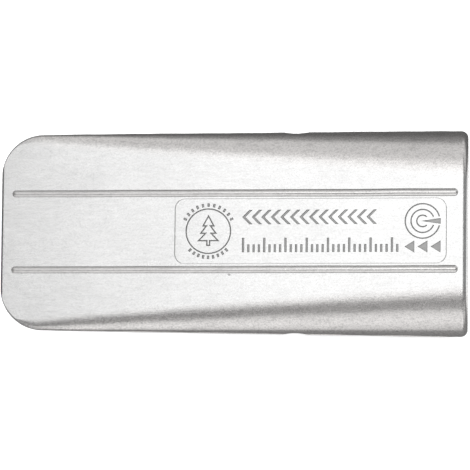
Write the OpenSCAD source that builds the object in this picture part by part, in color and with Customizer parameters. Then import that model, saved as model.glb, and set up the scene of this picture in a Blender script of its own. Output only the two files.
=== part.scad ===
// Felling wedge, closed-die forged from one billet of aluminium. Millimetres.
// It lies on its lower broad face: +X runs from the thin tip to the striking head,
// +Y runs across the blade and +Z is up.

/* [Blade] */
// Length from the tip edge to the striking face, along the parting plane
blade_l = 220; // [150:1:280]
// Width of the blade where the tip corners start
tip_w = 92.6; // [70:0.1:120]
// Width of the blade at the head
head_w = 97.7; // [70:0.1:125]
// Thickness between the broad faces at the tip edge
tip_t = 2.4; // [2.2:0.1:5]
// Thickness between the broad faces at the head
head_t = 28; // [18:0.5:40]

/* [Edges] */
// Plan radius of the two tip corners
tip_corner_r = 19.5; // [6:0.5:30]
// Rounding of the thin edge round the tip
tip_edge_r = 1; // [0.4:0.1:1]
// Rounding round the striking face
head_edge_r = 3.4; // [1:0.1:5]
// Depth ground off the striking face, which leaves its rim crisp
face_grind = 0.1; // [0.05:0.01:0.3]

/* [Shoulders] */
// Width of the flat of a broad face, carried to the tip edge
flat_tip_w = 85; // [55:0.5:90]
// Width of the flat of a broad face at the head
flat_head_w = 49; // [44:0.5:65]
// How soon the flat narrows towards the head: 1 is evenly, less is sooner
flat_bow = 0.8; // [0.6:0.05:1]
// Height of the trimmed land along the parting line
land_h = 1.6; // [0.6:0.1:3]
// Facets in each quarter of the shoulder curve
shoulder_steps = 14; // [6:1:20]

/* [Ribs] */
// Distance between the centre lines of the two ribs on a broad face
rib_spacing = 36.1; // [30:0.1:40]
// Width of a rib at its foot
rib_w = 3.7; // [2.5:0.1:5]
// Width of the flat crest of a rib
rib_crest_w = 1.6; // [0.6:0.1:2.4]
// Height of a rib above the broad face
rib_h = 0.8; // [0.5:0.1:2]
// Distance from the tip edge to the ribs
rib_tip_gap = 5.2; // [3:0.1:30]
// Distance from the striking face to the ribs
rib_head_gap = 4.7; // [3.5:0.1:30]

/* [Marking panel] */
// Length of the raised panel
panel_l = 128.2; // [105:0.1:140]
// Distance from the striking face to the panel
panel_head_gap = 9.8; // [5:0.1:20]
// Clear strip between the panel and the foot of each rib
panel_rib_gap = 0.6; // [0.4:0.1:3]
// Corner radius of the panel
panel_r = 5; // [2:0.5:8]
// Height of the panel above the broad face
panel_rise = 0.25; // [0.15:0.05:0.5]

/* [Engraved marks] */
// Depth of the marks below the panel
mark_depth = 0.4; // [0.3:0.05:0.6]
// Width of an engraved line in the rows of marks
mark_line = 1.1; // [0.8:0.1:1.4]
// Width of an engraved line in the emblems
emblem_line = 0.65; // [0.5:0.05:1]
// Strip left plain along the sides of the panel
mark_margin = 2.4; // [1.5:0.1:4]
// Strip left plain at the ends of the panel
mark_inset = 2.9; // [2:0.1:5]
// Gap between the two emblems and the rows of marks
mark_gap = 2.7; // [2:0.1:8]
// Pitch of the arrows that point to the tip
arrow_pitch = 4.5; // [4:0.1:8]
// How much sooner the arrows end than the scale
arrow_short = 9.4; // [0:0.1:20]
// Pitch of the scale lines
scale_pitch = 2.5; // [2:0.5:5]
// Every how many scale lines one is long
scale_major = 4; // [2:1:10]

/* [Side notches] */
// Distance from the tip edge to the middle of the notches
notch_x = 139; // [60:1:180]
// Length of a notch along the edge
notch_l = 12; // [6:0.5:20]
// Depth of a notch
notch_d = 1; // [0.5:0.1:2]

/* [Hidden] */

half_angle = atan((head_t - tip_t) / 2 / blade_l);
face_l = blade_l / cos(half_angle);
arc_steps = 14;
body_steps = 12;
round_steps = 6;
feature_root = 0.5;
cut_over = 1;

// Half sizes of the blade at a distance x from the tip edge
function half_t(x) = tip_t / 2 + x * tan(half_angle);
function half_side(x) = (tip_w + (head_w - tip_w) * x / blade_l) / 2;
function half_flat(x) = (flat_tip_w + (flat_head_w - flat_tip_w) * pow(x / blade_l, flat_bow)) / 2;

// What an arc of radius r takes off at a distance x from where it starts
function arc_cut(r, x) = x >= r ? 0 : r - sqrt(r * r - (r - x) * (r - x));

// One station of the blade: [x, half width, half flat, half thickness].
// The head's rounding draws the section in by the same amount all round.
function blade_station(x, draw_in) =
    let (w = half_side(x) - arc_cut(tip_corner_r, x))
    let (t = half_t(x) - arc_cut(tip_edge_r, x))
    [x, w - draw_in, min(half_flat(x), w - tip_edge_r), t - draw_in];

// The flat of a broad face meets the shoulder, a quarter of an ellipse that ends on the land
function section_quarter(s) =
    let (land = min(land_h / 2, 0.8 * s[3]))
    [for (i = [0:shoulder_steps])
        let (turn = 90 * i / shoulder_steps)
        [s[0], s[2] + (s[1] - s[2]) * sin(turn), land + (s[3] - land) * cos(turn)]];

function flip_y(points) = [for (p = points) [p[0], -p[1], p[2]]];
function flip_z(points) = [for (p = points) [p[0], p[1], -p[2]]];
function backwards(points) = [for (i = [len(points) - 1:-1:0]) points[i]];

function section_ring(s) =
    let (q = section_quarter(s))
    concat(q, flip_z(backwards(q)), flip_y(flip_z(q)), flip_y(backwards(q)));

// Where the stations stand: close together round the tip, then along the body to the head
tip_edge_x = [for (i = [0:round_steps]) tip_edge_r * (1 - cos(90 * i / round_steps))];
corner_x = [for (i = [1:arc_steps])
    let (x = tip_corner_r * (1 - cos(90 * i / arc_steps)))
    if (x > 1.05 * tip_edge_r) x];
head_start = blade_l - head_edge_r + face_grind;
body_x = [for (i = [1:body_steps - 1])
    tip_corner_r + (head_start - tip_corner_r) * i / body_steps];

blade_stations = concat(
    [for (x = concat(tip_edge_x, corner_x, body_x)) blade_station(x, 0)],
    [for (i = [0:round_steps])
        let (turn = 90 * i / round_steps)
        blade_station(head_start + head_edge_r * sin(turn), head_edge_r * (1 - cos(turn)))]
);

// Where the finished blade lies: on the crests of its lower ribs, centred on the origin
far_x = (blade_l - head_edge_r) * cos(half_angle) + head_edge_r
    + (head_t / 2 - head_edge_r) * sin(half_angle);
seat_z = tip_t / 2 * cos(half_angle) + rib_h;

// Panel and marks, measured along the sloping face from the tip edge
panel_w = rib_spacing - rib_w - 2 * panel_rib_gap;
panel_x = face_l - panel_head_gap - panel_l;
emblem_r = panel_w / 2 - mark_margin;
log_r = emblem_r * 0.64;
left_emblem_x = panel_x + mark_inset + emblem_r;
right_emblem_x = panel_x + panel_l - mark_inset - log_r;
row_start = left_emblem_x + emblem_r + mark_gap;
row_l = right_emblem_x - log_r - mark_gap - row_start;
row_h = emblem_r * 0.52;
row_y = emblem_r * 0.5;
mark_z = panel_rise - mark_depth;
mark_cut = mark_depth + cut_over;
notch_r = (notch_l * notch_l / 4 + notch_d * notch_d) / (2 * notch_d);

// Builds its children on the upper broad face: x along it, z out of it
module on_face() {
    translate([0, 0, tip_t / 2]) rotate([0, -half_angle, 0]) children();
}

module forged_blade() {
    rings = [for (s = blade_stations) section_ring(s)];
    n = len(rings[0]);
    last = len(rings) - 1;
    points = [for (ring = rings, p = ring) p];
    skin = [for (i = [0:last - 1], j = [0:n - 1], half = [0, 1])
        let (a = i * n + j)
        let (b = i * n + (j + 1) % n)
        half == 0 ? [a, b, b + n] : [a, b + n, a + n]];
    tip_cap = [for (j = [n - 1:-1:0]) j];
    head_cap = [for (j = [0:n - 1]) last * n + j];
    polyhedron(points = points, faces = concat([tip_cap], skin, [head_cap]), convexity = 4);
}

// A long rib with a flat crest, sloping flanks and round ends
module rib() {
    start = rib_tip_gap + rib_w / 2;
    end = face_l - rib_head_gap - rib_w / 2;
    flank = (rib_w - rib_crest_w) / 2 / rib_h;
    root_w = rib_w / 2 + flank * feature_root;
    for (x = [start, end]) {
        translate([x, 0, -feature_root])
            cylinder(r1 = root_w, r2 = rib_crest_w / 2, h = rib_h + feature_root, $fn = 48);
    }
    translate([start, 0, 0]) rotate([90, 0, 90])
        linear_extrude(end - start)
            polygon([[-root_w, -feature_root], [root_w, -feature_root],
                [rib_crest_w / 2, rib_h], [-rib_crest_w / 2, rib_h]]);
}

module ribs() {
    for (side = [-1, 1]) translate([0, side * rib_spacing / 2, 0]) rib();
}

module panel() {
    translate([panel_x, -panel_w / 2, -feature_root])
        linear_extrude(panel_rise + feature_root) {
            translate([panel_r, 0]) square([panel_l - 2 * panel_r, panel_w]);
            translate([0, panel_r]) square([panel_l, panel_w - 2 * panel_r]);
            for (x = [panel_r, panel_l - panel_r], y = [panel_r, panel_w - panel_r])
                translate([x, y]) circle(r = panel_r, $fn = 48);
        }
}

module flat_ring(outer_r) {
    difference() {
        circle(r = outer_r, $fn = 64);
        circle(r = outer_r - emblem_line, $fn = 64);
    }
}

// A plain fir tree of three tiers on a short trunk
module fir_tree(tree_h) {
    tier_h = tree_h * 0.4;
    trunk_w = tree_h * 0.14;
    for (i = [0:2]) {
        half_w = tree_h * (0.38 - 0.08 * i);
        base = -tree_h * 0.34 + i * tier_h * 0.62;
        polygon([[-half_w, base], [half_w, base], [0, base + tier_h]]);
    }
    translate([-trunk_w / 2, -tree_h / 2]) square([trunk_w, tree_h * 0.2]);
}

// A ring round an outlined fir tree, with radial dashes above and below it
module tree_emblem() {
    ring_r = emblem_r * 0.82;
    dash_start = ring_r + emblem_line;
    tree_h = ring_r * 1.3;
    flat_ring(ring_r);
    difference() {
        fir_tree(tree_h);
        offset(delta = -emblem_line) fir_tree(tree_h);
    }
    for (i = [-5:5]) rotate(90 + i * 12.5) dash(dash_start);
    for (i = [-4:4]) rotate(270 + i * 11) dash(dash_start);
}

module dash(start) {
    translate([start, -mark_line / 2]) square([emblem_r - start, mark_line]);
}

// A sawn log end with its growth rings and a wedge driven in from the side, over a row of
// small wedges
module log_emblem() {
    wedge_h = mark_line * 1.25;
    small_w = log_r * 0.55;
    translate([0, emblem_r * 0.34]) {
        difference() {
            for (share = [1, 0.68, 0.36]) flat_ring(log_r * share);
            translate([0, -mark_line * 1.7]) square([log_r * 2, mark_line * 3.4]);
        }
        polygon([[-log_r * 0.1, 0], [log_r, wedge_h], [log_r, -wedge_h]]);
    }
    for (i = [-1:1]) translate([i * (log_r - small_w / 2), -emblem_r * 0.57])
        polygon([[-small_w / 2, 0], [small_w / 2, row_h * 0.42], [small_w / 2, -row_h * 0.42]]);
}

// An arrow head that points to the tip
module arrow() {
    reach = row_h / 2;
    back = mark_line * sqrt(2);
    polygon([[0, 0], [reach, reach], [reach + back, reach], [back, 0],
        [reach + back, -reach], [reach, -reach]]);
}

module arrow_row() {
    count = floor((row_l - arrow_short - row_h / 2 - 2 * mark_line) / arrow_pitch);
    for (i = [0:count]) translate([row_start + i * arrow_pitch, row_y]) arrow();
}

module scale_row() {
    count = floor((row_l - mark_line) / scale_pitch);
    for (i = [0:count]) {
        line_h = i % scale_major == 0 ? row_h : row_h * 0.55;
        translate([row_start + i * scale_pitch, -row_y - row_h / 2])
            square([mark_line, line_h]);
    }
}

module marks() {
    translate([0, 0, mark_z]) linear_extrude(mark_cut) {
        translate([left_emblem_x, 0]) tree_emblem();
        translate([right_emblem_x, 0]) log_emblem();
        arrow_row();
        scale_row();
    }
}

module side_notches() {
    for (side = [-1, 1])
        translate([notch_x, side * (half_side(notch_x) - notch_d + notch_r), -head_t])
            cylinder(r = notch_r, h = 2 * head_t, $fn = 96);
}

module beyond_striking_face() {
    translate([blade_l, -head_w, -head_t]) cube([blade_l, 2 * head_w, 2 * head_t]);
}

module wedge_forging() {
    color([0.80, 0.80, 0.79])
    translate([-far_x / 2, 0, seat_z]) rotate([0, -half_angle, 0])
    difference() {
        union() {
            forged_blade();
            on_face() ribs();
            mirror([0, 0, 1]) on_face() ribs();
            on_face() panel();
        }
        on_face() marks();
        side_notches();
        beyond_striking_face();
    }
}

wedge_forging();
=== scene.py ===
from math import asin, atan, cos, pi, radians, sin, sqrt, tan

import bmesh
import bpy
from bpy.props import FloatProperty, FloatVectorProperty, IntProperty, PointerProperty
from mathutils import Matrix, Vector, noise


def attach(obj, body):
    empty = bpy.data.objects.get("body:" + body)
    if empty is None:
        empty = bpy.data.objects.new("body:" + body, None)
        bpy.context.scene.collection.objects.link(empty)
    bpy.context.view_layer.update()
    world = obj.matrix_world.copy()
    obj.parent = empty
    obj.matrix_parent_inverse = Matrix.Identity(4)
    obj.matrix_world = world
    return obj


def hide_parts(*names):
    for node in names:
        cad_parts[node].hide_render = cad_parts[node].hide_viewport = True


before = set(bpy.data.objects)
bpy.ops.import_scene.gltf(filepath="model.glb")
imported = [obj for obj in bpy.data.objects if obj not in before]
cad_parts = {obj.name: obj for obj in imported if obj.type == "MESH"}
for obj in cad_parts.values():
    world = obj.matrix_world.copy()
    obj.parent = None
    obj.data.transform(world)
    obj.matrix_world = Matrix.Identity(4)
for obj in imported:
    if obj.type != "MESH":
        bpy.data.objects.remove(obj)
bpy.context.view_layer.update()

bl_info = {
    "name": "Felling wedge",
    "version": (1, 0, 0),
    "blender": (4, 5, 0),
    "location": "View3D > Sidebar > Wedge",
    "description": "Models and finishes a forged aluminium felling wedge on its packed frame",
    "category": "Add Mesh",
}

NODE = "wedge_forging"
PIECE = "forged_wedge"
CLOSE = 1e-6
START_R = 0.01  # size of a primitive whose corners are placed one by one


# ---------------------------------------------------------------- settings


def size(name, description, default):
    return FloatProperty(name=name, description=description, default=default, unit="LENGTH")


def color(name, description, default):
    return FloatVectorProperty(
        name=name, description=description, subtype="COLOR", default=default
    )


def angle(name, description, degrees):
    return FloatProperty(
        name=name, description=description, subtype="ANGLE", default=radians(degrees)
    )


class WedgeSizes(bpy.types.PropertyGroup):
    """Sizes of the forging, in metres."""

    blade_l: size("Blade length", "From the tip edge to the striking face", 0.220)
    tip_w: size("Tip width", "Width where the tip corners start", 0.0926)
    head_w: size("Head width", "Width at the striking face", 0.0977)
    tip_t: size("Tip thickness", "Between the broad faces at the tip edge", 0.0024)
    head_t: size("Head thickness", "Between the broad faces at the head", 0.028)
    corner_r: size("Tip corner", "Plan radius of the tip corners", 0.0195)
    tip_edge_r: size("Tip rounding", "Rounding of the thin edge", 0.001)
    head_edge_r: size("Head rounding", "Rounding round the striking face", 0.0034)
    face_grind: size("Face grind", "Depth ground off the striking face", 0.00008)
    flat_tip_w: size("Flat at the tip", "Width of a broad face's flat at the tip", 0.085)
    flat_head_w: size("Flat at the head", "Width of a broad face's flat at the head", 0.049)
    flat_bow: FloatProperty(
        name="Flat bow", description="How soon the flat narrows: 1 is evenly", default=0.8
    )
    land_h: size("Land height", "Height of the trimmed land on the parting line", 0.0016)
    flash_w: size("Flash", "How far the trimmed flash stands out of the sides", 0.0003)
    rib_spacing: size("Rib spacing", "Between the centre lines of two ribs", 0.0361)
    rib_tip_w: size("Rib width at the tip", "Width of a rib's foot at the tip end", 0.003)
    rib_head_w: size("Rib width at the head", "Width of a rib's foot at the head end", 0.0034)
    rib_h: size("Rib height", "Height of a rib above the broad face", 0.0008)
    rib_wave: size("Rib wave", "How far a rib wanders from its straight line", 0.00012)
    rib_tip_gap: size("Rib to tip", "From the tip edge to the ribs", 0.0052)
    rib_head_gap: size("Rib to head", "From the striking face to the ribs", 0.0047)
    panel_l: size("Panel length", "Length of the raised marking panel", 0.1282)
    panel_w: size("Panel width", "Width of the raised marking panel", 0.0312)
    panel_head_gap: size("Panel to head", "From the striking face to the panel", 0.0098)
    panel_r: size("Panel corner", "Corner radius of the panel", 0.005)
    panel_rise: size("Panel rise", "Height of the panel above the broad face", 0.00025)
    mark_depth: size("Mark depth", "Depth of the marks below the panel", 0.0004)
    mark_line: size("Mark line", "Width of an engraved line in the rows", 0.0011)
    emblem_line: size("Emblem line", "Width of an engraved line in the emblems", 0.00065)
    mark_slope: size("Mark slope", "Width of the sloping wall of a mark", 0.00025)
    mark_margin: size("Mark margin", "Plain strip along the sides of the panel", 0.0024)
    mark_inset: size("Mark inset", "Plain strip at the ends of the panel", 0.0029)
    mark_gap: size("Mark gap", "Between the emblems and the rows", 0.0027)
    arrow_pitch: size("Arrow pitch", "Pitch of the arrows", 0.0045)
    arrow_short: size("Arrow row", "How much sooner the arrows end than the scale", 0.0094)
    scale_pitch: size("Scale pitch", "Pitch of the scale lines", 0.0025)
    scale_major: IntProperty(
        name="Long line", description="Every how many scale lines one is long", default=4
    )
    forge_wave: size("Forging waves", "Depth of the slight waves in the shoulders", 0.00007)
    notch_x: size("Notch place", "From the tip edge to the middle of a notch", 0.139)
    notch_l: size("Notch length", "Length of a notch along the edge", 0.012)
    notch_d: size("Notch depth", "Depth of a notch", 0.001)


class WedgeFinish(bpy.types.PropertyGroup):
    """Colours and surface of the metal."""

    bright: color("Bright metal", "Ground aluminium", (0.96, 0.96, 0.957))
    dull: color("Dull metal", "Aluminium left as forged", (0.97, 0.945, 0.93))
    recess: color("Recess", "Metal on the floor of the marks", (0.53, 0.53, 0.525))
    bright_rough: FloatProperty(
        name="Roughness", description="Roughness of the ground and the forged metal", default=0.27
    )
    recess_rough: FloatProperty(
        name="Recess roughness", description="Roughness of the floor of the marks", default=0.42
    )


class WedgeStage(bpy.types.PropertyGroup):
    """Floor, light and camera."""

    camera_height: size("Camera height", "Camera above the wedge", 2.2)
    view_width: size("View width", "What the view takes in, at the parting plane", 0.22116)
    camera_lean: angle("Camera lean", "How far the camera leans to the near side", 6.64)
    camera_roll: angle("Camera roll", "How far the camera is rolled", 0.58)
    floor: color("Floor", "Colour of the floor", (0.92, 0.92, 0.92))
    floor_glow: FloatProperty(
        name="Floor glow", description="How much the floor shines by itself", default=0.35
    )


# ---------------------------------------------------------------- shape rules


class Shape:
    """The wedge's outline rules, worked out from its sizes. x runs from the tip edge,
    y across, and z up from the parting plane."""

    def __init__(self, s):
        self.s = s
        self.half_angle = atan((s.head_t - s.tip_t) / 2 / s.blade_l)
        self.face_l = s.blade_l / cos(self.half_angle)
        self.panel_x = self.face_l - s.panel_head_gap - s.panel_l
        self.emblem_r = s.panel_w / 2 - s.mark_margin
        self.log_r = 0.64 * self.emblem_r
        self.row_h = 0.52 * self.emblem_r

    def half_t(self, x):
        return self.s.tip_t / 2 + x * tan(self.half_angle)

    def half_side(self, x):
        s = self.s
        return (s.tip_w + (s.head_w - s.tip_w) * x / s.blade_l) / 2

    def half_flat(self, x):
        s = self.s
        narrowed = (s.flat_head_w - s.flat_tip_w) * (max(x, 0) / s.blade_l) ** s.flat_bow
        return (s.flat_tip_w + narrowed) / 2

    def seat(self):
        """The turn and move that lay the wedge on its lower ribs, centred on the origin."""
        s = self.s
        far_x = (s.blade_l - s.head_edge_r) * cos(self.half_angle) + s.head_edge_r
        far_x += (s.head_t / 2 - s.head_edge_r) * sin(self.half_angle)
        rise = s.tip_t / 2 * cos(self.half_angle) + s.rib_h
        return -self.half_angle, Vector((-far_x / 2, 0, rise))

    def face_place(self, point):
        """A point's place on the broad face it is nearest: along, across and out of it."""
        x, z = point.x, abs(point.z) - self.s.tip_t / 2
        a = self.half_angle
        return x * cos(a) + z * sin(a), point.y, -x * sin(a) + z * cos(a)


def arc_cut(r, x):
    """What an arc of radius r takes off at a distance x from where it starts."""
    return 0 if x >= r else r - sqrt(r * r - (r - x) ** 2)


def turns(first, last, count):
    """Angles or places from first to last, in equal steps."""
    return [first + (last - first) * i / count for i in range(count + 1)]


def faded(x, start, rise, end, fall):
    """1 along most of the way from start to end, and 0 at both and beyond them."""
    return min(1, max(0, x - start) / rise, max(0, end - x) / fall)


# ---------------------------------------------------------------- modelling helpers


FEWEST_FACES = 1000  # a blade that has fewer lost its shape in a boolean
BEAD_ROOT = 0.0005  # how deep a bead reaches below the face it stands on
RING_STEPS = 72


def work_on(*objs):
    """Selects just these objects, the first of them active."""
    if bpy.context.object and bpy.context.object.mode != "OBJECT":
        bpy.ops.object.mode_set(mode="OBJECT")
    bpy.ops.object.select_all(action="DESELECT")
    for obj in objs:
        obj.select_set(True)
    bpy.context.view_layer.objects.active = objs[0]


def edit(obj):
    """Opens an object in edit mode with nothing selected, and returns its mesh."""
    work_on(obj)
    bpy.ops.object.mode_set(mode="EDIT")
    bpy.ops.mesh.select_mode(type="VERT")
    bpy.ops.mesh.select_all(action="DESELECT")
    return bmesh.from_edit_mesh(obj.data)


def end_edit():
    bpy.ops.object.mode_set(mode="OBJECT")


def pick(obj, kind, test):
    """In edit mode, selects the verts, edges or faces that pass the test, and counts them."""
    bpy.ops.mesh.select_mode(type={"verts": "VERT", "edges": "EDGE", "faces": "FACE"}[kind])
    bpy.ops.mesh.select_all(action="DESELECT")
    mesh = bmesh.from_edit_mesh(obj.data)
    mesh.normal_update()
    found = [item for item in getattr(mesh, kind) if test(item)]
    for item in found:
        item.select_set(True)
    mesh.select_flush_mode()
    bmesh.update_edit_mesh(obj.data)
    return len(found)


def named(name):
    """Names the active object and its mesh."""
    obj = bpy.context.object
    obj.name = name
    obj.data.name = name
    return obj


def join(objs, name):
    work_on(*objs)
    bpy.ops.object.join()
    return named(name)


def placed(obj, turn_y, move):
    """Turns and moves an object, and puts the place into its mesh."""
    work_on(obj)
    obj.rotation_euler = (0, turn_y, 0)
    obj.location = move
    bpy.ops.object.transform_apply(location=True, rotation=True, scale=True)


def combine(obj, tool, operation):
    """Adds the tool's solid to the object or cuts it out, and checks that it stays closed."""
    work_on(obj)
    modifier = obj.modifiers.new("combine", "BOOLEAN")
    modifier.operation = operation
    modifier.solver = "MANIFOLD"
    modifier.object = tool
    bpy.ops.object.modifier_apply(modifier=modifier.name)
    bpy.data.objects.remove(tool)
    edit(obj)
    bpy.ops.mesh.select_all(action="SELECT")
    bpy.ops.mesh.dissolve_degenerate(threshold=CLOSE)
    bpy.ops.mesh.select_all(action="SELECT")
    bpy.ops.mesh.delete_loose()
    mesh = bmesh.from_edit_mesh(obj.data)
    whole = len(mesh.faces) > FEWEST_FACES and all(edge.is_manifold for edge in mesh.edges)
    end_edit()
    if not whole:
        raise RuntimeError(f"{operation} left {obj.name} open or empty")


def loft(name, rings):
    """Extrudes a closed section from ring to ring of points, and closes both ends."""
    bpy.ops.mesh.primitive_circle_add(vertices=len(rings[0]), radius=START_R)
    obj = named(name)
    edit(obj)
    bpy.ops.mesh.select_all(action="SELECT")
    mesh = bmesh.from_edit_mesh(obj.data)
    turn = mesh.verts.layers.int.new("turn")
    for vert in mesh.verts:
        vert[turn] = vert.index
        vert.co = rings[0][vert.index]
    bmesh.update_edit_mesh(obj.data)
    for ring in rings[1:]:
        bpy.ops.mesh.extrude_region_move()
        mesh = bmesh.from_edit_mesh(obj.data)
        turn = mesh.verts.layers.int["turn"]
        for vert in mesh.verts:
            if vert.select:
                vert.co = ring[vert[turn]]
        bmesh.update_edit_mesh(obj.data)
    middle = 0.5 * rings[-1][0].x
    pick(obj, "edges", lambda e: e.is_boundary and e.verts[0].co.x < middle)
    bpy.ops.mesh.edge_face_add()
    pick(obj, "edges", lambda e: e.is_boundary)
    bpy.ops.mesh.edge_face_add()
    bpy.ops.mesh.select_all(action="SELECT")
    bpy.ops.mesh.normals_make_consistent(inside=False)
    end_edit()
    obj.data.attributes.remove(obj.data.attributes["turn"])
    return obj


def bead(name, outline, profile):
    """A low bead with the given outline: a root below the face, then inset and raised step by
    step to follow its profile of (inset, height) pairs."""
    obj = flat_plates([outline])[0]
    obj.name = name
    edit(obj)
    bpy.ops.mesh.select_all(action="SELECT")
    bpy.ops.transform.translate(value=(0, 0, -BEAD_ROOT))
    rise = BEAD_ROOT + profile[0][1]
    bpy.ops.mesh.extrude_region_move(TRANSFORM_OT_translate={"value": (0, 0, rise)})
    for (inset, height), (next_inset, next_height) in zip(profile, profile[1:]):
        bpy.ops.mesh.inset(thickness=next_inset - inset, depth=next_height - height)
    bpy.ops.mesh.select_all(action="SELECT")
    bpy.ops.mesh.normals_make_consistent(inside=False)
    end_edit()
    return obj


def flat_plates(outlines):
    """Flat plates, each a single face with its corners where its outline has them."""
    plates = []
    for corners in outlines:
        bpy.ops.mesh.primitive_circle_add(
            vertices=len(corners), radius=START_R, fill_type="NGON"
        )
        plate = bpy.context.object
        mesh = edit(plate)
        mesh.verts.ensure_lookup_table()
        for vert, (u, v) in zip(mesh.verts, corners):
            vert.co = (u, v, 0)
        bmesh.update_edit_mesh(plate.data)
        end_edit()
        plates.append(plate)
    return plates


def flat_ring(centre, outer_r, inner_r, keep=lambda place: True):
    """A flat ring, extruded inwards from a circle. It keeps the faces whose place, measured
    from its centre, passes a test."""
    bpy.ops.mesh.primitive_circle_add(
        vertices=RING_STEPS, radius=outer_r, location=(*centre, 0)
    )
    bpy.ops.object.transform_apply(location=True)
    ring = bpy.context.object
    edit(ring)
    bpy.ops.mesh.select_all(action="SELECT")
    bpy.ops.mesh.extrude_region_move()
    shrink = inner_r / outer_r
    bpy.ops.transform.resize(value=(shrink, shrink, 1), center_override=(*centre, 0))
    origin = Vector((*centre, 0))
    if pick(ring, "faces", lambda f: not keep(f.calc_center_median() - origin)):
        bpy.ops.mesh.delete(type="FACE")
    end_edit()
    return ring


# ---------------------------------------------------------------- blade

SHOULDER_STEPS = 22
CORNER_STEPS = 26
EDGE_STEPS = 8
BODY_STEPS = 60
NOTCH_STEPS = 192
LAND_INSET = 0.0002
FLASH_HEAD_GAP = 0.004
LAND_LIMIT = 0.8  # the most of the blade's half thickness that half the land may take


def blade_rings(shape):
    """The blade's sections from the tip edge to the ground face, closer together where the
    tip's corners and the rims curve."""
    s = shape.s
    head_start = s.blade_l - s.head_edge_r + s.face_grind
    rim_turn = asin((s.blade_l - head_start) / s.head_edge_r)
    tip = [(s.tip_edge_r * (1 - cos(a)), 0) for a in turns(0, pi / 2, EDGE_STEPS)]
    corner = [(s.corner_r * (1 - cos(a)), 0) for a in turns(0, pi / 2, CORNER_STEPS)]
    corner = [c for c in corner if c[0] > 1.05 * s.tip_edge_r]
    run = head_start - s.corner_r
    body = [(s.corner_r + run * i / BODY_STEPS, 0) for i in range(1, BODY_STEPS + 1)]
    head = [
        (head_start + s.head_edge_r * sin(a), s.head_edge_r * (1 - cos(a)))
        for a in turns(0, rim_turn, EDGE_STEPS)[1:]
    ]
    return [section_ring(shape, x, draw_in) for x, draw_in in tip + corner + body + head]


def section_ring(shape, x, draw_in):
    """The closed section at x: flats, and shoulders that are quarters of an ellipse and end on
    the land. The shoulders keep the slight waves of the forging."""
    s = shape.s
    half_w = shape.half_side(x) - s.flash_w - arc_cut(s.corner_r, x)
    half_t = shape.half_t(x) - arc_cut(s.tip_edge_r, x) - draw_in
    flat = min(shape.half_flat(x), half_w - s.tip_edge_r)
    half_w -= draw_in
    land = min(s.land_h / 2, LAND_LIMIT * half_t)
    fade = faded(x, s.corner_r, 0.03, s.blade_l - s.head_edge_r, 0.008)
    ring = []
    for side, face in ((1, 1), (1, -1), (-1, -1), (-1, 1)):
        quarter = []
        for turn in turns(0, pi / 2, SHOULDER_STEPS):
            wave = noise.noise(Vector((x * 55, 7 * side + 2 * turn, 3 * face)))
            wave += 0.5 * noise.noise(Vector((x * 150, 7 * side + 4 * turn, 3 * face + 20)))
            dent = s.forge_wave * fade * (0.6 + 0.6 * wave) * sin(2 * turn) ** 2
            y = flat + (half_w - flat) * sin(turn) - dent * sin(turn)
            z = land + (half_t - land) * cos(turn) - dent * cos(turn)
            quarter.append(Vector((x, side * y, face * z)))
        ring += quarter if side == face else list(reversed(quarter))
    return ring


def raise_flash(blade, shape):
    """Pushes the land out along both sides, less at the tip, with the ragged line a trimming
    die leaves."""
    s = shape.s

    def on_land(face):
        middle = face.calc_center_median()
        along = s.corner_r < middle.x < s.blade_l - s.head_edge_r
        return along and abs(face.normal.y) > 0.9 and abs(middle.z) < CLOSE

    edit(blade)
    pick(blade, "faces", on_land)
    bpy.ops.mesh.inset(thickness=LAND_INSET, depth=0)
    mesh = bmesh.from_edit_mesh(blade.data)
    for vert in {v for f in mesh.faces if f.select for v in f.verts}:
        side = 1 if vert.co.y > 0 else -1
        ragged = noise.noise(Vector((vert.co.x * 90, side * 3.7, 0.4)))
        fade = faded(vert.co.x, s.corner_r, 0.02, s.blade_l - FLASH_HEAD_GAP, 0.01)
        vert.co.y += side * s.flash_w * fade * (0.75 + 0.5 * ragged)
    bmesh.update_edit_mesh(blade.data)
    end_edit()


def merge_flats(blade, shape):
    """Each broad flat becomes one face, so that what is added to it joins cleanly."""
    level = cos(shape.half_angle)
    edit(blade)
    pick(blade, "faces", lambda f: abs(abs(f.normal.z) - level) < 2e-7)
    bpy.ops.mesh.dissolve_limited(angle_limit=radians(0.05))
    end_edit()


def notch_cutters(shape):
    """Upright cylinders that each cut a shallow notch out of a side."""
    s = shape.s
    notch_r = (s.notch_l**2 / 4 + s.notch_d**2) / (2 * s.notch_d)
    cutters = []
    for side in (-1, 1):
        y = side * (shape.half_side(s.notch_x) - s.notch_d + notch_r)
        bpy.ops.mesh.primitive_cylinder_add(
            vertices=NOTCH_STEPS, radius=notch_r, depth=2 * s.head_t, location=(s.notch_x, y, 0)
        )
        bpy.ops.object.transform_apply(location=True)
        cutters.append(bpy.context.object)
    return join(cutters, "notch_cutters")


class WEDGE_OT_forge_blade(bpy.types.Operator):
    """Forges the tapered blade with its shoulders, parting-line land and side notches"""

    bl_idname = "wedge.forge_blade"
    bl_label = "Forge blade"

    def execute(self, context):
        shape = Shape(context.scene.wedge_sizes)
        blade = loft(PIECE, blade_rings(shape))
        raise_flash(blade, shape)
        merge_flats(blade, shape)
        combine(blade, notch_cutters(shape), "DIFFERENCE")
        return {"FINISHED"}


# ---------------------------------------------------------------- ribs


RIB_FOOT = 0.0002  # width of the fillet along a rib's foot
RIB_LIFT = 0.00002  # how far the fillet starts below the face, and how far it rises above
RIB_CREST = 0.0002  # half the width that stays as it is when a rib is widened
RIB_ARC = 0.96  # how much of the bead's arc is built; the rest is the fillet
RIB_STEPS = 12
RIB_PARTS = 60
RIB_END_STEPS = 24


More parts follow.
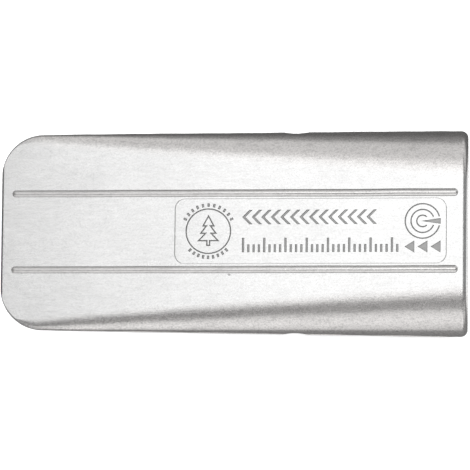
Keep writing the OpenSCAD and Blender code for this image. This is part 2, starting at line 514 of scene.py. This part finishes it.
def rib_profile(shape):
    """A round bead, as (inset, height) pairs from the foot to the crest."""
    s = shape.s
    bead_r = ((s.rib_tip_w / 2) ** 2 + s.rib_h**2) / (2 * s.rib_h)
    foot_turn = asin(s.rib_tip_w / 2 / bead_r)
    profile = [(0, -RIB_LIFT), (0.6 * RIB_FOOT, RIB_LIFT)]
    for i in range(RIB_STEPS):
        turn = foot_turn * (1 - i / RIB_STEPS) * RIB_ARC
        inset = RIB_FOOT + s.rib_tip_w / 2 - bead_r * sin(turn)
        profile.append((inset, s.rib_h - bead_r * (1 - cos(turn))))
    return profile


def rib_outline(shape):
    """A long stadium, with points along its sides so that it can wander."""
    s = shape.s
    foot_r = s.rib_tip_w / 2 + RIB_FOOT
    start = s.rib_tip_gap + s.rib_tip_w / 2
    end = shape.face_l - s.rib_head_gap - s.rib_tip_w / 2
    sides = turns(start, end, RIB_PARTS)[1:-1]
    points = [(u, -foot_r) for u in sides]
    for a in turns(-pi / 2, pi / 2, RIB_END_STEPS):
        points.append((end + foot_r * cos(a), foot_r * sin(a)))
    points += [(u, foot_r) for u in reversed(sides)]
    for a in turns(pi / 2, 3 * pi / 2, RIB_END_STEPS):
        points.append((start + foot_r * cos(a), foot_r * sin(a)))
    return points


def widen(rib, shape, seed):
    """Widens a rib towards the head, all but its crest, and lets it wander a little."""
    s = shape.s
    mesh = edit(rib)
    for vert in mesh.verts:
        along = vert.co.x / shape.face_l
        spread = min(1, max(0, (abs(vert.co.y) - RIB_CREST) / (s.rib_tip_w / 2 - RIB_CREST)))
        vert.co.y *= 1 + (s.rib_head_w / s.rib_tip_w - 1) * along * spread
        vert.co.y += s.rib_wave * noise.noise(Vector((vert.co.x * 45, seed, 0.3)))
    bmesh.update_edit_mesh(rib.data)
    end_edit()


class WEDGE_OT_add_ribs(bpy.types.Operator):
    """Joins two long ribs to each broad face, with a fillet along their feet"""

    bl_idname = "wedge.add_ribs"
    bl_label = "Add ribs"

    def execute(self, context):
        shape = Shape(context.scene.wedge_sizes)
        s = shape.s
        blade = bpy.data.objects[PIECE]
        ribs = []
        for side in (-1, 1):
            for face in (-1, 1):
                rib = bead("rib", rib_outline(shape), rib_profile(shape))
                widen(rib, shape, 5.1 * side + 2.3 * face)
                placed(rib, -shape.half_angle, (0, side * s.rib_spacing / 2, s.tip_t / 2))
                if face < 0:
                    edit(rib)
                    bpy.ops.mesh.select_all(action="SELECT")
                    bpy.ops.transform.resize(value=(1, 1, -1), center_override=(0, 0, 0))
                    bpy.ops.mesh.normals_make_consistent(inside=False)
                    end_edit()
                ribs.append(rib)
        combine(blade, join(ribs, "ribs"), "UNION")
        return {"FINISHED"}


# ---------------------------------------------------------------- panel


# The panel's rim, as insets in millimetres and heights as parts of its rise
PANEL_PROFILE = ((0, -0.05), (0.1, 0.08), (0.2, 0.3), (0.3, 0.7), (0.4, 0.92), (0.5, 1))
PANEL_CORNER_STEPS = 12
OFF_MIDDLE = 0.00003  # how far the lengthwise cut stays off the marks' own middle line
CUT_SHIFT = 0.43  # how far the crosswise cuts stay off the marks' pitch, in steps


def panel_outline(shape):
    """A rectangle with rounded corners."""
    s = shape.s
    r = s.panel_r
    points = []
    for i, (u, v) in enumerate(((1, -1), (1, 1), (-1, 1), (-1, -1))):
        centre_u = shape.panel_x + s.panel_l / 2 + u * (s.panel_l / 2 - r)
        centre_v = v * (s.panel_w / 2 - r)
        for a in turns(pi / 2 * (i - 1), pi / 2 * i, PANEL_CORNER_STEPS):
            points.append((centre_u + r * cos(a), centre_v + r * sin(a)))
    return points


class WEDGE_OT_raise_panel(bpy.types.Operator):
    """Raises the marking panel between the ribs of the upper face"""

    bl_idname = "wedge.raise_panel"
    bl_label = "Raise panel"

    def execute(self, context):
        shape = Shape(context.scene.wedge_sizes)
        s = shape.s
        profile = [(inset / 1000, h * s.panel_rise) for inset, h in PANEL_PROFILE]
        panel = bead("panel", panel_outline(shape), profile)
        self.divide(panel, shape)
        placed(panel, -shape.half_angle, (0, 0, s.tip_t / 2))
        combine(bpy.data.objects[PIECE], panel, "UNION")
        return {"FINISHED"}

    def divide(self, panel, shape):
        """Splits the panel into strips, so that each mark is cut out of a face of its own."""
        s = shape.s
        step = s.arrow_pitch / 2
        count = int(s.panel_l / step)
        places = [shape.panel_x + step * (i + CUT_SHIFT) for i in range(1, count)]
        cuts = [((u, 0, 0), (1, 0, 0)) for u in places] + [((0, OFF_MIDDLE, 0), (0, 1, 0))]
        edit(panel)
        for place, normal in cuts:
            bpy.ops.mesh.select_all(action="SELECT")
            bpy.ops.mesh.bisect(plane_co=place, plane_no=normal)
        end_edit()


# ---------------------------------------------------------------- marks


TIERS = 3
CUTTER_H = 0.001  # how far the cutter stands above the panel
CUTTER_GAP = 0.00003  # how far above the panel the walls of the marks start to slope
DASHES = ((pi / 2, radians(12.5), 5), (-pi / 2, radians(11), 4))  # middle, pitch, each way


def tree_outline(centre, height):
    """A plain fir tree: tiers on a short trunk."""
    trunk = 0.07 * height
    foot = -0.34 * height
    tier_h = 0.4 * height
    tier_step = tier_h * 0.62
    right = [(trunk, -0.5 * height), (trunk, foot)]
    for i in range(TIERS):
        base = foot + i * tier_step
        half_w = height * (0.38 - 0.08 * i)
        right.append((half_w, base))
        if i < TIERS - 1:
            right.append((half_w * 0.38, base + tier_step))
    tip = (0, foot + (TIERS - 1) * tier_step + tier_h)
    left = [(-u, v) for u, v in reversed(right)]
    return [(centre + u, v) for u, v in right + [tip] + left]


def turned(points, turn, centre):
    """Points turned about the origin and moved along by centre."""
    c, s = cos(turn), sin(turn)
    return [(centre + u * c - v * s, u * s + v * c) for u, v in points]


def bar_outline(u0, v0, u1, v1):
    return [(u0, v0), (u1, v0), (u1, v1), (u0, v1)]


def wedge_outline(u0, u1, v, half_h):
    return [(u0, v), (u1, v - half_h), (u1, v + half_h)]


def framed(outlines, line):
    """Plates whose middle is left standing, so that only a line is engraved."""
    plates = flat_plates(outlines)
    for plate in plates:
        edit(plate)
        bpy.ops.mesh.select_all(action="SELECT")
        bpy.ops.mesh.inset(thickness=line, depth=0)
        bpy.ops.mesh.delete(type="FACE")
        end_edit()
    return plates


def tree_emblem(shape):
    """A fir tree in a ring, with dashes above and below."""
    s = shape.s
    r = shape.emblem_r
    centre = shape.panel_x + s.mark_inset + r
    ring_r = 0.82 * r
    dash = bar_outline(ring_r + s.emblem_line, -s.mark_line / 2, r, s.mark_line / 2)
    dashes = flat_plates([
        turned(dash, middle + pitch * i, centre)
        for middle, pitch, reach in DASHES for i in range(-reach, reach + 1)
    ])
    tree = framed([tree_outline(centre, 1.3 * ring_r)], s.emblem_line)
    return dashes + tree + [flat_ring((centre, 0), ring_r, ring_r - s.emblem_line)]


def log_emblem(shape):
    """A log end with its rings and a wedge driven in, over a row of small wedges."""
    s = shape.s
    r = shape.log_r
    centre = shape.panel_x + s.panel_l - s.mark_inset - r
    middle = 0.34 * shape.emblem_r
    row = -0.57 * shape.emblem_r
    small = 0.55 * r
    outlines = [wedge_outline(centre - 0.1 * r, centre + r, middle, 1.25 * s.mark_line)]
    for i in (-1, 0, 1):
        u = centre + i * (r - small / 2)
        outlines.append(wedge_outline(u - small / 2, u + small / 2, row, 0.42 * shape.row_h))

    def clear_of_wedge(place):
        return place.x < 0 or abs(place.y) > 1.7 * s.mark_line

    rings = [
        flat_ring((centre, middle), share * r, share * r - s.emblem_line, keep=clear_of_wedge)
        for share in (1, 0.68, 0.36)
    ]
    return flat_plates(outlines) + rings


def mark_rows(shape):
    """The row of arrows that point to the tip, and the scale below it."""
    s = shape.s
    row_start = shape.panel_x + s.mark_inset + 2 * shape.emblem_r + s.mark_gap
    row_end = shape.panel_x + s.panel_l - s.mark_inset - 2 * shape.log_r - s.mark_gap
    row_l = row_end - row_start
    row_v = 0.5 * shape.emblem_r
    reach, back = shape.row_h / 2, s.mark_line * sqrt(2)
    arrow = [
        (0, 0), (reach, -reach), (reach + back, -reach),
        (back, 0), (reach + back, reach), (reach, reach),
    ]
    arrows = int((row_l - s.arrow_short - reach - 2 * s.mark_line) / s.arrow_pitch) + 1
    outlines = []
    for i in range(arrows):
        start = row_start + i * s.arrow_pitch
        outlines.append([(start + u, row_v + v) for u, v in arrow])
    foot = -row_v - reach
    for i in range(int((row_l - s.mark_line) / s.scale_pitch) + 1):
        tall = shape.row_h if i % s.scale_major == 0 else 0.55 * shape.row_h
        u = row_start + i * s.scale_pitch
        outlines.append(bar_outline(u, foot, u + s.mark_line, foot + tall))
    return flat_plates(outlines)


class WEDGE_OT_engrave_marks(bpy.types.Operator):
    """Engraves the tree and log emblems, the arrows and the scale into the panel"""

    bl_idname = "wedge.engrave_marks"
    bl_label = "Engrave marks"

    def execute(self, context):
        shape = Shape(context.scene.wedge_sizes)
        s = shape.s
        cutter = join(tree_emblem(shape) + log_emblem(shape) + mark_rows(shape), "mark_cutter")
        edit(cutter)
        bpy.ops.mesh.select_all(action="SELECT")
        bpy.ops.mesh.extrude_region_move(TRANSFORM_OT_translate={"value": (0, 0, CUTTER_H)})
        bpy.ops.mesh.select_all(action="SELECT")
        bpy.ops.mesh.normals_make_consistent(inside=False)
        pick(cutter, "faces", lambda f: all(abs(v.co.z) < CLOSE for v in f.verts))
        bpy.ops.mesh.inset(thickness=s.mark_slope, depth=s.mark_depth + CUTTER_GAP)
        end_edit()
        placed(cutter, 0, (0, 0, s.panel_rise + CUTTER_GAP))
        placed(cutter, -shape.half_angle, (0, 0, s.tip_t / 2))
        combine(bpy.data.objects[PIECE], cutter, "DIFFERENCE")
        return {"FINISHED"}


# ---------------------------------------------------------------- materials


BUMP_STEP = 0.00001  # metres; the depths below are in these steps
NICK_DEPTH = 4
GRAIN_DEPTH = 2
LINE_DEPTH = 1
RECESS_LINE_DEPTH = 0.5


def principled(name):
    material = bpy.data.materials.new(name)
    material.use_nodes = True
    return material, material.node_tree.nodes["Principled BSDF"]


def feed(tree, socket, value):
    """Links another node's output to a socket, or sets the socket to a value."""
    if isinstance(value, bpy.types.NodeSocket):
        tree.links.new(value, socket)
    else:
        socket.default_value = value


def node(tree, kind, inputs=(), **settings):
    """Adds a node with its settings and inputs."""
    made = tree.nodes.new("ShaderNode" + kind)
    for name, value in settings.items():
        setattr(made, name, value)
    for name, value in dict(inputs).items():
        feed(tree, made.inputs[name], value)
    return made


def effect(name, outputs):
    """A node group that takes object coordinates; returns it with its input and a way to
    connect its outputs."""
    tree = bpy.data.node_groups.new(name, "ShaderNodeTree")
    tree.interface.new_socket("Vector", in_out="INPUT", socket_type="NodeSocketVector")
    for output in outputs:
        tree.interface.new_socket(output, in_out="OUTPUT", socket_type="NodeSocketFloat")
    start = tree.nodes.new("NodeGroupInput")
    end = tree.nodes.new("NodeGroupOutput")

    def finish(**sockets):
        for output, socket in sockets.items():
            tree.links.new(socket, end.inputs[output])
        return tree

    return tree, start.outputs["Vector"], finish


def ramp(tree, value, low, high, to_low=0, to_high=1):
    """Goes smoothly from to_low, where the value is low, to to_high, where it is high."""
    return node(tree, "MapRange", {
        "Value": value, "From Min": low, "From Max": high, "To Min": to_low, "To Max": to_high,
    }, interpolation_type="SMOOTHSTEP").outputs["Result"]


def scaled_noise(tree, vector, scale, detail=2, roughness=0.5):
    mapping = node(tree, "Mapping", {"Vector": vector, "Scale": scale})
    return node(tree, "TexNoise", {
        "Vector": mapping.outputs["Vector"], "Scale": 1, "Detail": detail, "Roughness": roughness,
    }).outputs["Fac"]


def math(tree, operation, *values):
    made = node(tree, "Math", operation=operation)
    for socket, value in zip(made.inputs, values):
        feed(tree, socket, value)
    return made.outputs["Value"]


def multiplied(tree, *values):
    """The product of two or more values."""
    product, *others = values
    for value in others:
        product = math(tree, "MULTIPLY", product, value)
    return product


def absolute(tree, value):
    return math(tree, "ABSOLUTE", value)


def grind_lines():
    """Fine lines that run along the blade, as a flap wheel or a worn die leaves them."""
    tree, vector, finish = effect("grind_lines", ("Lines",))
    fine = scaled_noise(tree, vector, (150, 1250, 300), 3, 0.65)
    broad = scaled_noise(tree, vector, (70, 500, 200), 2)
    both = math(tree, "ADD", multiplied(tree, fine, 0.6), multiplied(tree, broad, 0.4))
    return finish(Lines=ramp(tree, both, 0.2, 0.8))


def forge_mottle():
    """Cloudy patches a centimetre or two across, and broad ones."""
    tree, vector, finish = effect("forge_mottle", ("Mottle", "Clouds"))
    mottle = scaled_noise(tree, vector, (170, 300, 300), 4, 0.65)
    clouds = scaled_noise(tree, vector, (35, 45, 30), 2)
    return finish(Mottle=ramp(tree, mottle, 0.15, 0.85), Clouds=ramp(tree, clouds, 0.2, 0.8))


def blast_grain():
    """The grain of the forged skin, and the dull flecks in it."""
    tree, vector, finish = effect("blast_grain", ("Grain", "Flecks"))
    flecks = scaled_noise(tree, vector, (260, 520, 520), 5, 0.75)
    grain = scaled_noise(tree, vector, (1100, 1300, 1300), 2, 0.7)
    return finish(Grain=grain, Flecks=flecks)


def small_nicks():
    """A few short dents and dark specks, scattered over the surface."""
    tree, vector, finish = effect("small_nicks", ("Nicks",))
    mapping = node(tree, "Mapping", {"Vector": vector, "Scale": (75, 130, 110)})
    cells = node(tree, "TexVoronoi", {"Vector": mapping.outputs["Vector"], "Scale": 1})
    spot = ramp(tree, cells.outputs["Distance"], 0.07, 0.03)
    lot = node(tree, "SeparateColor", {"Color": cells.outputs["Color"]}).outputs["Red"]
    chosen = ramp(tree, lot, 0.6, 0.64)
    return finish(Nicks=multiplied(tree, spot, chosen))


def use(tree, group, vector):
    """Places an effect in a material and returns its outputs."""
    return node(tree, "Group", {"Vector": vector}, node_tree=group).outputs


def attribute(tree, name):
    return node(tree, "Attribute", attribute_name=name).outputs["Fac"]


def metal(name, ground, forged, roughness, line_depth, effects):
    """Aluminium that goes from its ground colour on the flats to its forged one on the
    shoulders, with lines, clouds, grain, flecks and nicks in its colour and height, and
    painted shade in its colour."""
    material, shader = principled(name)
    tree = material.node_tree
    place = node(tree, "TexCoord").outputs["Object"]
    lines = use(tree, effects["lines"], place)["Lines"]
    patches = use(tree, effects["mottle"], place)
    grains = use(tree, effects["grain"], place)
    nicks = use(tree, effects["nicks"], place)["Nicks"]
    shoulder = attribute(tree, "shoulder")
    rib_rough = attribute(tree, "rib_rough")
    # painted shade: a face attribute, set on the rib feet, the walls of the marks and the rounded
    # tip edge
    grime = attribute(tree, "grime")

    tone = node(tree, "Mix", data_type="RGBA")
    feed(tree, tone.inputs["Factor"], shoulder)
    feed(tree, tone.inputs["A"], (*ground, 1))
    feed(tree, tone.inputs["B"], (*forged, 1))
    pits = multiplied(
        tree, ramp(tree, grains["Grain"], 0.6, 0.3), ramp(tree, shoulder, 0, 1, 0.085, 0.18)
    )
    flecks = multiplied(
        tree, ramp(tree, grains["Flecks"], 0.5, 0.36), ramp(tree, shoulder, 0, 1, 0.04, 0.13)
    )
    shade = multiplied(
        tree,
        ramp(tree, lines, 0, 1, 0.94, 1),
        ramp(tree, patches["Mottle"], 0, 1, 0.95, 1),
        ramp(tree, patches["Clouds"], 0, 1, 0.96, 1),
        math(tree, "SUBTRACT", 1, pits),
        math(tree, "SUBTRACT", 1, flecks),
        # painted shade: darkens the base colour down to half where that face attribute is 1
        ramp(tree, grime, 0, 1, 1, 0.5),
        ramp(tree, nicks, 0, 1, 1, 0.72),
    )
    shaded = node(tree, "VectorMath", operation="SCALE")
    feed(tree, shaded.inputs["Vector"], tone.outputs["Result"])
    feed(tree, shaded.inputs["Scale"], shade)
    feed(tree, shader.inputs["Base Color"], shaded.outputs["Vector"])
    feed(tree, shader.inputs["Metallic"], 1)
    feed(tree, shader.inputs["Roughness"], math(tree, "ADD", rib_rough, roughness))

    depth = ramp(tree, shoulder, 0, 1, 0.25 * GRAIN_DEPTH, GRAIN_DEPTH)
    height = math(
        tree, "ADD", multiplied(tree, lines, line_depth), multiplied(tree, grains["Grain"], depth)
    )
    height = math(tree, "SUBTRACT", height, multiplied(tree, nicks, NICK_DEPTH))
    bump = node(tree, "Bump", {"Height": height, "Strength": 1, "Distance": BUMP_STEP})
    feed(tree, shader.inputs["Normal"], bump.outputs["Normal"])
    return material


# Where the finishes change, in metres
RIB_REACH = 0.0022  # how far from a rib's centre line its finish goes
# how far from a rib's centre line the painted shade at its feet goes
RIB_SHADE_REACH = 0.0025
RIB_END_GAP = 0.004  # how far from the head the ribs' finish ends
# how far from the head the painted shade at the rib feet ends
SHADE_END_GAP = 0.003
SHOULDER_FADE = 0.006  # width over which the ground flats turn into forged shoulders
ON_FACE = 0.00001
BELOW_FACE = -0.00005
# heights about the broad face between which steep faces take painted shade
SHADE_BELOW, SHADE_ABOVE = -0.00012, 0.0002
PANEL_RIM = 0.001
# how soon the painted shade on the tip edge fades out
TIP_SHADE_FADE = 0.03

# How strong they are
RIB_DULL = 0.6
RIB_ROUGH_TIP, RIB_ROUGH_FALL = 0.12, 0.19
# how dark the painted shade is on the tip edge and at the rib feet
TIP_SHADE = 0.8
RIB_SHADE = 0.6


class WEDGE_OT_finish_metal(bpy.types.Operator):
    """Lays the wedge on its lower ribs, smooths it and gives each area its metal"""

    bl_idname = "wedge.finish_metal"
    bl_label = "Finish metal"

    def execute(self, context):
        shape = Shape(context.scene.wedge_sizes)
        finish = context.scene.wedge_finish
        wedge = bpy.data.objects[PIECE]
        work_on(wedge)
        wedge.data.materials.clear()
        effects = {
            "lines": grind_lines(),
            "mottle": forge_mottle(),
            "grain": blast_grain(),
            "nicks": small_nicks(),
        }
        wedge.data.materials.append(metal(
            "bright_forged_metal", finish.bright, finish.dull, finish.bright_rough,
            LINE_DEPTH, effects,
        ))
        wedge.data.materials.append(metal(
            "recessed_metal", finish.recess, finish.recess, finish.recess_rough,
            RECESS_LINE_DEPTH, effects,
        ))
        self.mark_areas(wedge, shape)
        for face in wedge.data.polygons:
            low = shape.face_place(face.center)[2] < BELOW_FACE
            floor = low and face.normal.z > 0.5 and self.on_panel(face.center, shape)
            face.material_index = 1 if floor else 0
        bpy.ops.object.shade_smooth_by_angle(angle=radians(28))
        weighted = wedge.modifiers.new("even_shading", "WEIGHTED_NORMAL")
        weighted.keep_sharp = True
        weighted.weight = 100
        bpy.ops.object.modifier_apply(modifier=weighted.name)
        turn, move = shape.seat()
        placed(wedge, turn, move)
        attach(wedge, "root")
        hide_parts(NODE)
        return {"FINISHED"}

    def mark_areas(self, wedge, shape):
        """Three attributes: shoulder is 0 on the ground flats and 1 on the shoulders, which
        keep their forged skin, and in between on the ribs; rib_rough is what the ribs add to
        the roughness, most at the tip; and the third is painted shade on the feet of the
        ribs, the walls of the marks and the rounded edge round the tip, which is partly a
        dull trimmed edge too."""
        s = shape.s
        shoulder = wedge.data.attributes.new("shoulder", "FLOAT", "POINT").data
        rib_rough = wedge.data.attributes.new("rib_rough", "FLOAT", "POINT").data
        for vert in wedge.data.vertices:
            u, v, w = shape.face_place(vert.co)
            across = abs(abs(v) - s.rib_spacing / 2)
            if across < RIB_REACH and w > ON_FACE and u < shape.face_l - RIB_END_GAP:
                shoulder[vert.index].value = RIB_DULL
                rib_rough[vert.index].value = RIB_ROUGH_TIP - RIB_ROUGH_FALL * u / shape.face_l
            else:
                beyond = abs(v) - shape.half_flat(vert.co.x)
                shoulder[vert.index].value = min(1, max(0, beyond / SHOULDER_FADE))
        # painted shade: one value a face
        grime = wedge.data.attributes.new("grime", "FLOAT", "FACE").data
        for face in wedge.data.polygons:
            grime[face.index].value = self.painted_shade_on(face, shape)

    def painted_shade_on(self, face, shape):
        """How much painted shade a face takes, from 0 to 1."""
        u, v, w = shape.face_place(face.center)
        level = abs(face.normal.z)
        if SHADE_BELOW < w < SHADE_ABOVE and level <= 0.97:
            # the sloping walls of the marks: full painted shade
            if self.on_panel(face.center, shape):
                return 1
            # the feet and low sides of the ribs: painted shade
            across = abs(abs(v) - shape.s.rib_spacing / 2)
            if across < RIB_SHADE_REACH and u < shape.face_l - SHADE_END_GAP:
                return RIB_SHADE
        # the rounded edge round the tip: painted shade, fading away from the tip, partly a dull
        # trimmed edge too
        if w < BELOW_FACE and level < 0.93 and face.center.x < shape.s.blade_l / 4:
            return TIP_SHADE * min(1, max(0, 1.4 - face.center.x / TIP_SHADE_FADE))
        return 0

    def on_panel(self, point, shape):
        """Whether a point lies within the marking panel, clear of its rim."""
        s = shape.s
        u, v, _ = shape.face_place(point)
        off_u = abs(u - shape.panel_x - s.panel_l / 2)
        inside = off_u < s.panel_l / 2 - PANEL_RIM and abs(v) < s.panel_w / 2 - PANEL_RIM
        return point.z > 0 and inside


# ---------------------------------------------------------------- stage


# Name, first and last angle from straight above towards the far side, lean towards the head
# in degrees, distance, width in metres, brightness
SOFTBOXES = (
    ("overhead_softbox", -9, 27, 4.5, 1.6, 1.5, 1.1),
    ("far_softbox", 27, 65, 0, 1.6, 1.6, 0.42),
    ("near_softbox", -62, -31, 4, 1.5, 1.6, 0.66),
    ("low_softbox", -88, -62, 4, 1.5, 1.6, 0.5),
)
LIGHTS_AIM = Matrix.Translation((0, 0, 0.015))
CAMERA_AIM = Matrix.Translation((0.0001, -0.00104, 0.0095))
SENSOR_W = 36
SUN_STRENGTH = 0.9
WHITE = (1, 1, 1, 1)


def softbox(name, first, last, lean, distance, width, brightness):
    """A soft light that fills the angles from first to last, as seen from the wedge."""
    depth = 2 * distance * tan(radians(last - first) / 2)
    data = bpy.data.lights.new(name, "AREA")
    data.shape = "RECTANGLE"
    data.size = width
    data.size_y = depth
    data.energy = brightness * pi * width * depth
    lamp = bpy.data.objects.new(name, data)
    bpy.context.scene.collection.objects.link(lamp)
    turn = Matrix.Rotation(radians(lean), 4, "Y")
    turn = turn @ Matrix.Rotation(-radians(first + last) / 2, 4, "X")
    lamp.matrix_world = LIGHTS_AIM @ turn @ Matrix.Translation((0, 0, distance))
    lamp.visible_camera = False


class WEDGE_OT_set_stage(bpy.types.Operator):
    """Sets the pale floor, the soft lights and the camera above the wedge"""

    bl_idname = "wedge.set_stage"
    bl_label = "Set stage"

    def execute(self, context):
        stage = context.scene.wedge_stage
        bpy.ops.mesh.primitive_plane_add(size=12, location=(0, 0, 0))
        floor = named("floor")
        material, shader = principled("pale_floor")
        shader.inputs["Base Color"].default_value = (*stage.floor, 1)
        shader.inputs["Roughness"].default_value = 1
        shader.inputs["Emission Color"].default_value = WHITE
        shader.inputs["Emission Strength"].default_value = stage.floor_glow
        floor.data.materials.append(material)
        self.dim_in_reflections(material.node_tree, shader)

        self.light_room(context.scene, pale=0.95, dark=0.2, between=0.62)
        for box in SOFTBOXES:
            softbox(*box)
        sun = bpy.data.objects.new("floor_light", bpy.data.lights.new("floor_light", "SUN"))
        sun.data.energy = SUN_STRENGTH
        sun.data.angle = radians(4)
        sun.visible_glossy = False
        bpy.context.scene.collection.objects.link(sun)

        lens_data = bpy.data.cameras.new("camera")
        camera = bpy.data.objects.new("camera", lens_data)
        context.scene.collection.objects.link(camera)
        lean = Matrix.Rotation(stage.camera_lean, 4, "X")
        lean = lean @ Matrix.Rotation(stage.camera_roll, 4, "Z")
        up = Matrix.Translation((0, 0, stage.camera_height))
        camera.matrix_world = CAMERA_AIM @ lean @ up
        lens_data.sensor_width = SENSOR_W
        lens_data.lens = SENSOR_W * stage.camera_height / stage.view_width
        context.scene.camera = camera
        context.scene.view_settings.view_transform = "Standard"
        return {"FINISHED"}

    def dim_in_reflections(self, tree, shader):
        """The metal sees the floor as dark, less so on the near side, and bright by the head."""
        place = node(tree, "TexCoord").outputs["Object"]
        axes = node(tree, "SeparateXYZ", {"Vector": place}).outputs
        near = ramp(tree, axes["Y"], 0.02, -0.1, 0.12, 0.24)
        middle = ramp(tree, absolute(tree, axes["Y"]), 0.05, 0.028)
        by_head = multiplied(tree, ramp(tree, axes["X"], 0.105, 0.125), middle)
        bright = ramp(tree, by_head, 0, 1, 0, 0.9)
        # painted reflection: glossy rays see the floor as a glow set by place, dim along the
        # sides and bright by the head, in place of its lit colour
        glow = node(tree, "Emission", {"Strength": math(tree, "ADD", near, bright)})
        path = node(tree, "LightPath")
        mix = node(tree, "MixShader", {"Fac": path.outputs["Is Glossy Ray"]})
        tree.links.new(shader.outputs["BSDF"], mix.inputs[1])
        tree.links.new(glow.outputs["Emission"], mix.inputs[2])
        tree.links.new(mix.outputs["Shader"], tree.nodes["Material Output"].inputs["Surface"])

    def light_room(self, scene, pale, dark, between):
        """A pale room. The metal sees it as dark along and across the wedge, which draws its
        edges, and as light in the raised directions between those."""
        world = bpy.data.worlds.new("studio")
        scene.world = world
        world.use_nodes = True
        tree = world.node_tree
        sight = node(tree, "TexCoord").outputs["Generated"]
        axes = node(tree, "SeparateXYZ", {"Vector": sight}).outputs
        slant = absolute(tree, multiplied(tree, axes["X"], axes["Y"]))
        raised = multiplied(
            tree, ramp(tree, axes["Z"], 0.12, 0.24), ramp(tree, axes["Z"], 0.7, 0.6)
        )
        seen = ramp(tree, multiplied(tree, slant, raised), 0.14, 0.28, dark, between)
        path = node(tree, "LightPath")
        tone = node(tree, "MapRange", {
            "Value": path.outputs["Is Glossy Ray"], "To Min": pale, "To Max": seen,
        })
        tree.links.new(tone.outputs["Result"], tree.nodes["Background"].inputs["Strength"])
        tree.nodes["Background"].inputs["Color"].default_value = WHITE


# ---------------------------------------------------------------- add-on


STEPS = ("forge_blade", "add_ribs", "raise_panel", "engrave_marks", "finish_metal", "set_stage")


class WEDGE_PT_tools(bpy.types.Panel):
    """Lists the steps that build the wedge"""

    bl_idname = "WEDGE_PT_tools"
    bl_label = "Felling wedge"
    bl_space_type = "VIEW_3D"
    bl_region_type = "UI"
    bl_category = "Wedge"

    def draw(self, context):
        for step in STEPS:
            self.layout.operator("wedge." + step)


CLASSES = (
    WedgeSizes,
    WedgeFinish,
    WedgeStage,
    WEDGE_OT_forge_blade,
    WEDGE_OT_add_ribs,
    WEDGE_OT_raise_panel,
    WEDGE_OT_engrave_marks,
    WEDGE_OT_finish_metal,
    WEDGE_OT_set_stage,
    WEDGE_PT_tools,
)
GROUPS = {"wedge_sizes": WedgeSizes, "wedge_finish": WedgeFinish, "wedge_stage": WedgeStage}


def register():
    for cls in CLASSES:
        bpy.utils.register_class(cls)
    for name, group in GROUPS.items():
        setattr(bpy.types.Scene, name, PointerProperty(type=group))


def unregister():
    for name in GROUPS:
        delattr(bpy.types.Scene, name)
    for cls in reversed(CLASSES):
        bpy.utils.unregister_class(cls)


def main():
    register()
    for step in STEPS:
        getattr(bpy.ops.wedge, step)()


if __name__ == "__main__":
    main()
